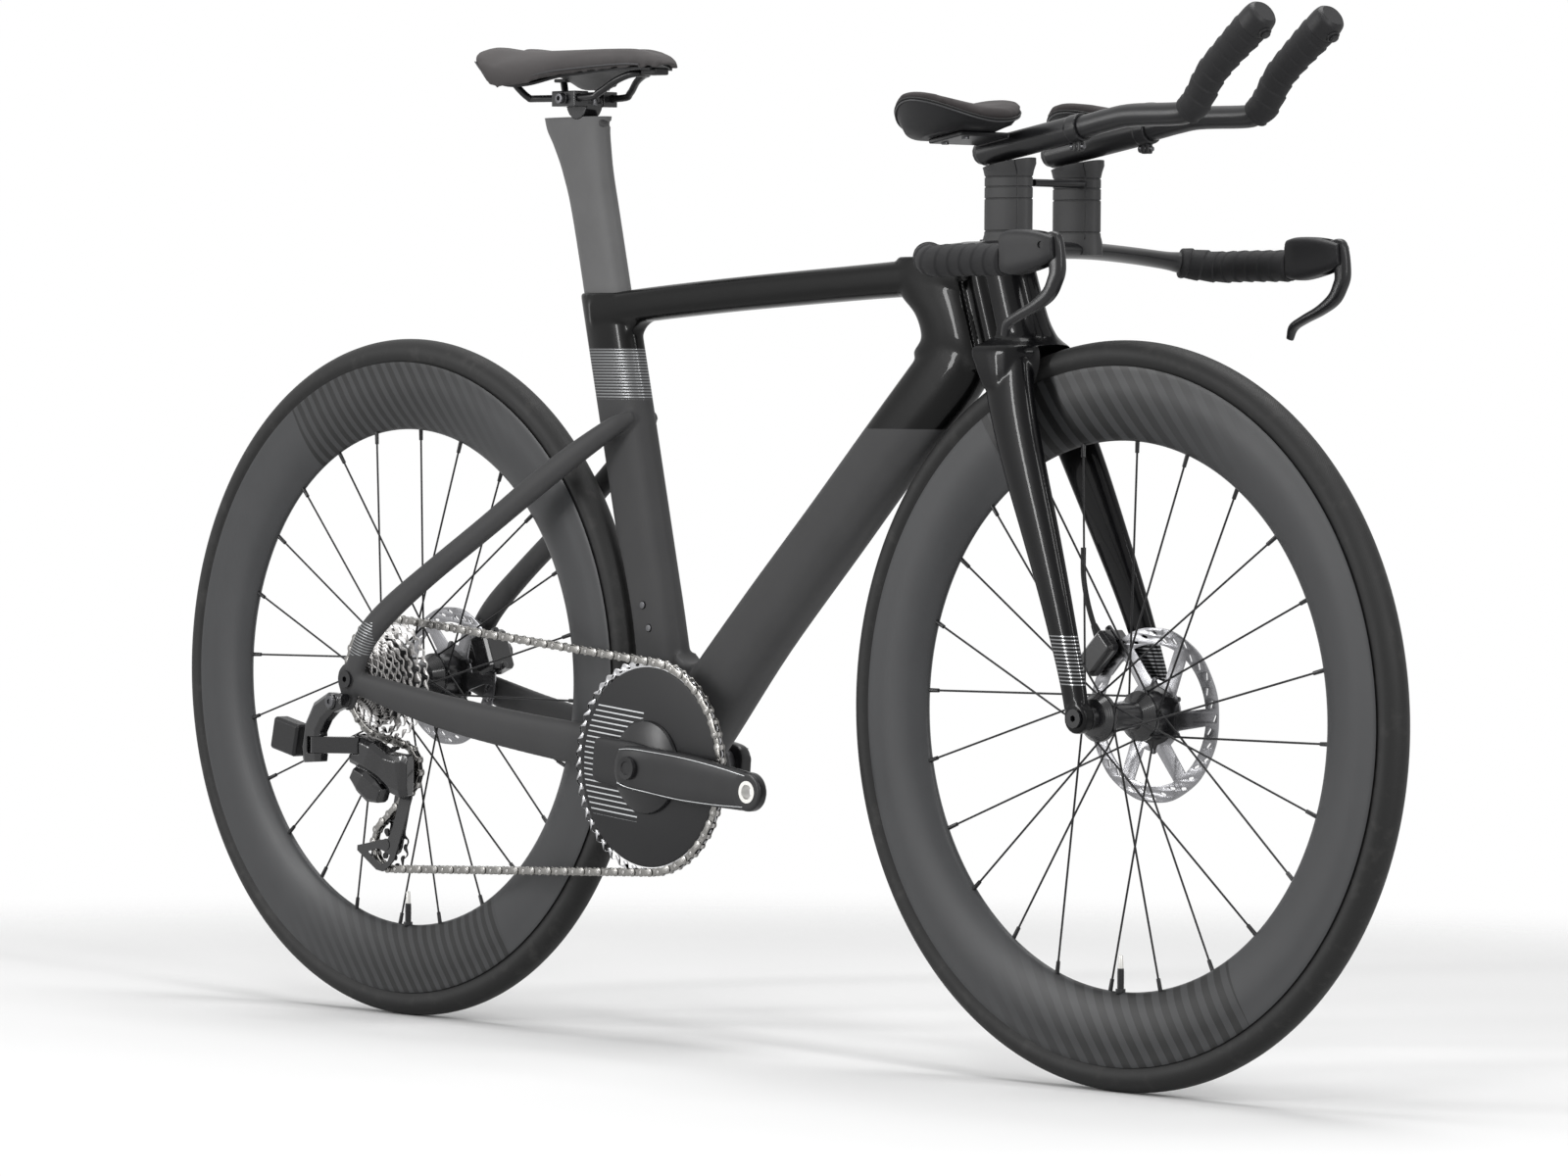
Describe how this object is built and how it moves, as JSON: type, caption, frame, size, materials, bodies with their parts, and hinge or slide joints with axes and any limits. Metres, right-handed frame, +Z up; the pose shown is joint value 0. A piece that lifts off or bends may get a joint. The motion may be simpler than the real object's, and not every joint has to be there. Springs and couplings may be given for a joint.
{
  "type": "time trial bicycle",
  "caption": "Time-trial road bike with deep rims, disc brakes, aero extensions, a chainring and an electronic rear derailleur.",
  "frame": {"origin": "on the floor, midway between the two wheel axles and on the bike's middle plane", "axes": "+X forward, +Y to the rider's left, +Z up"},
  "size_m": [1.6718, 0.399, 0.9762],
  "materials": {
    "matt_carbon": "fine matt lacquer over carbon",
    "gloss_carbon": "clear gloss lacquer over carbon",
    "satin_black": "satin black",
    "black_alloy": "black anodised",
    "tyre_rubber": "smooth rubber",
    "rim_carbon": "matt grey carbon with darker slanting stripes",
    "bright_steel": "brushed",
    "sprocket_steel": "machined",
    "bar_tape": "wound grip tape",
    "pad_foam": "dark foam",
    "saddle_cover": "dark grey cover",
    "hose": "smooth"
  },
  "bodies": {
    "frame": {"frame": "matt_carbon", "headset_upper_bearing": "bright_steel", "headset_lower_bearing": "bright_steel", "bottom_bracket": "black_alloy", "chain": "bright_steel", "rear_caliper": "black_alloy", "rear_axle": "black_alloy", "derailleur_knuckle": "black_alloy", "derailleur_battery": "satin_black"},
    "seatpost": {"seatpost": "matt_carbon"},
    "saddle_clamp": {"saddle_clamp": "black_alloy"},
    "saddle": {"saddle_rails": "black_alloy", "saddle_shell": "satin_black", "saddle_cushion": "saddle_cover"},
    "cockpit": {"fork": "gloss_carbon", "base_bar": "satin_black", "riser_left": "matt_carbon", "riser_right": "matt_carbon", "riser_bridge": "satin_black", "extension_clamp_left": "black_alloy", "extension_clamp_right": "black_alloy", "front_caliper": "black_alloy", "front_brake_hose": "hose", "front_axle": "black_alloy", "bar_tape_left": "bar_tape", "bar_tape_right": "bar_tape", "lever_body_left": "satin_black", "lever_body_right": "satin_black", "arm_cup_left": "matt_carbon", "arm_cup_right": "matt_carbon", "arm_pad_left": "pad_foam", "arm_pad_right": "pad_foam"},
    "front_wheel": {"front_tyre": "tyre_rubber", "front_rim": "rim_carbon", "front_hub": "black_alloy", "front_rotor": "bright_steel"},
    "rear_wheel": {"rear_tyre": "tyre_rubber", "rear_rim": "rim_carbon", "rear_hub": "black_alloy", "rear_rotor": "bright_steel"},
    "cassette": {"cassette": "sprocket_steel"},
    "crankset": {"chainring": "black_alloy", "right_crank": "black_alloy", "left_crank": "black_alloy"},
    "derailleur_outer_link": {"derailleur_outer_link": "black_alloy"},
    "derailleur_inner_link": {"derailleur_inner_link": "black_alloy"},
    "derailleur_body": {"derailleur_body": "black_alloy"},
    "derailleur_cage": {"derailleur_cage": "black_alloy"},
    "upper_pulley": {"upper_pulley": "black_alloy"},
    "lower_pulley": {"lower_pulley": "black_alloy"},
    "front_brake_pad": {"front_brake_pad": "bright_steel"},
    "rear_brake_pad": {"rear_brake_pad": "bright_steel"},
    "brake_lever_left": {"brake_lever_left": "satin_black"},
    "extension_left": {"extension_left": "satin_black", "extension_tape_left": "bar_tape"},
    "shift_button_left": {"shift_button_left": "satin_black"},
    "brake_lever_right": {"brake_lever_right": "satin_black"},
    "extension_right": {"extension_right": "satin_black", "extension_tape_right": "bar_tape"},
    "shift_button_right": {"shift_button_right": "satin_black"}
  },
  "joints": [
    {"name": "steering", "type": "hinge", "parent": "frame", "child": "cockpit", "pos_m": [0.31792, 0, 0.742], "axis": [-0.309, 0, 0.9511], "range_deg": [-25, 25]},
    {"name": "front_wheel_spin", "type": "hinge", "parent": "cockpit", "child": "front_wheel", "pos_m": [0.49585, 0, 0.34], "axis": [0, 1, 0], "continuous": true},
    {"name": "rear_wheel_spin", "type": "hinge", "parent": "frame", "child": "rear_wheel", "pos_m": [-0.49585, 0, 0.34], "axis": [0, 1, 0], "continuous": true},
    {"name": "crank_spin", "type": "hinge", "parent": "frame", "child": "crankset", "pos_m": [-0.08935, 0, 0.2692], "axis": [0, 1, 0], "continuous": true, "deforming": ["chain"]},
    {"name": "cassette_spin", "type": "hinge", "parent": "frame", "child": "cassette", "pos_m": [-0.49585, 0, 0.34], "axis": [0, 1, 0], "continuous": true},
    {"name": "brake_lever_left_pull", "type": "hinge", "parent": "cockpit", "child": "brake_lever_left", "pos_m": [0.57942, 0.186, 0.762], "axis": [0, 1, 0], "range_deg": [0, 20], "stiffness_Nm_per_rad": 0.6},
    {"name": "brake_lever_right_pull", "type": "hinge", "parent": "cockpit", "child": "brake_lever_right", "pos_m": [0.57942, -0.186, 0.762], "axis": [0, 1, 0], "range_deg": [0, 20], "stiffness_Nm_per_rad": 0.6},
    {"name": "front_brake_press", "type": "slide", "parent": "cockpit", "child": "front_brake_pad", "axis": [0, -1, 0], "range_m": [0, 0.00045]},
    {"name": "rear_brake_press", "type": "slide", "parent": "frame", "child": "rear_brake_pad", "axis": [0, -1, 0], "range_m": [0, 0.00045]},
    {"name": "seatpost_height", "type": "slide", "parent": "frame", "child": "seatpost", "axis": [-0.2267, 0, 0.974], "range_m": [0, 0.03]},
    {"name": "saddle_tilt", "type": "hinge", "parent": "seatpost", "child": "saddle_clamp", "pos_m": [-0.23705, 0, 0.9095], "axis": [0, 1, 0], "range_deg": [-8, 8]},
    {"name": "saddle_slide", "type": "slide", "parent": "saddle_clamp", "child": "saddle", "axis": [1, 0, 0], "range_m": [-0.008, 0.008]},
    {"name": "extension_left_reach", "type": "slide", "parent": "cockpit", "child": "extension_left", "axis": [0.9863, 0, 0.165], "range_m": [-0.012, 0.012]},
    {"name": "shift_button_left_press", "type": "slide", "parent": "extension_left", "child": "shift_button_left", "axis": [-0.6306, 0, 0.7761], "range_m": [0, 0.001], "stiffness_N_per_m": 600},
    {"name": "extension_right_reach", "type": "slide", "parent": "cockpit", "child": "extension_right", "axis": [0.9863, 0, 0.165], "range_m": [-0.012, 0.012]},
    {"name": "shift_button_right_press", "type": "slide", "parent": "extension_right", "child": "shift_button_right", "axis": [-0.6306, 0, 0.7761], "range_m": [0, 0.001], "stiffness_N_per_m": 600},
    {"name": "derailleur_outer_link_swing", "type": "hinge", "parent": "frame", "child": "derailleur_outer_link", "pos_m": [-0.52985, -0.0958, 0.265], "axis": [0, 0, -1], "range_deg": [0, 50]},
    {"name": "derailleur_inner_link_swing", "type": "hinge", "parent": "frame", "child": "derailleur_inner_link", "pos_m": [-0.52985, -0.0866, 0.265], "axis": [0, 0, -1], "range_deg": [0, 50]},
    {"name": "derailleur_body_swing", "type": "hinge", "parent": "derailleur_outer_link", "child": "derailleur_body", "pos_m": [-0.49585, -0.0683, 0.265], "axis": [0, 0, -1], "range_deg": [-50, 0]},
    {"name": "derailleur_cage_swing", "type": "hinge", "parent": "derailleur_body", "child": "derailleur_cage", "pos_m": [-0.47035, -0.029, 0.2495], "axis": [0, 1, 0], "range_deg": [-12, 45], "stiffness_Nm_per_rad": 0.4},
    {"name": "upper_pulley_spin", "type": "hinge", "parent": "derailleur_cage", "child": "upper_pulley", "pos_m": [-0.47035, -0.029, 0.2495], "axis": [0, 1, 0], "continuous": true},
    {"name": "lower_pulley_spin", "type": "hinge", "parent": "derailleur_cage", "child": "lower_pulley", "pos_m": [-0.48911, -0.029, 0.17297], "axis": [0, 1, 0], "continuous": true}
  ],
  "couplings": [
    {"joint": "cassette_spin", "follows": "crank_spin", "ratio": 1.6667},
    {"joint": "upper_pulley_spin", "follows": "crank_spin", "ratio": -4.1667},
    {"joint": "lower_pulley_spin", "follows": "crank_spin", "ratio": 4.1667},
    {"joint": "derailleur_inner_link_swing", "follows": "derailleur_outer_link_swing", "ratio": 1},
    {"joint": "derailleur_body_swing", "follows": "derailleur_outer_link_swing", "ratio": -1},
    {"joint": "front_brake_press", "follows": "brake_lever_left_pull", "m_per_rad": 0.00125},
    {"joint": "rear_brake_press", "follows": "brake_lever_right_pull", "m_per_rad": 0.00125}
  ]
}
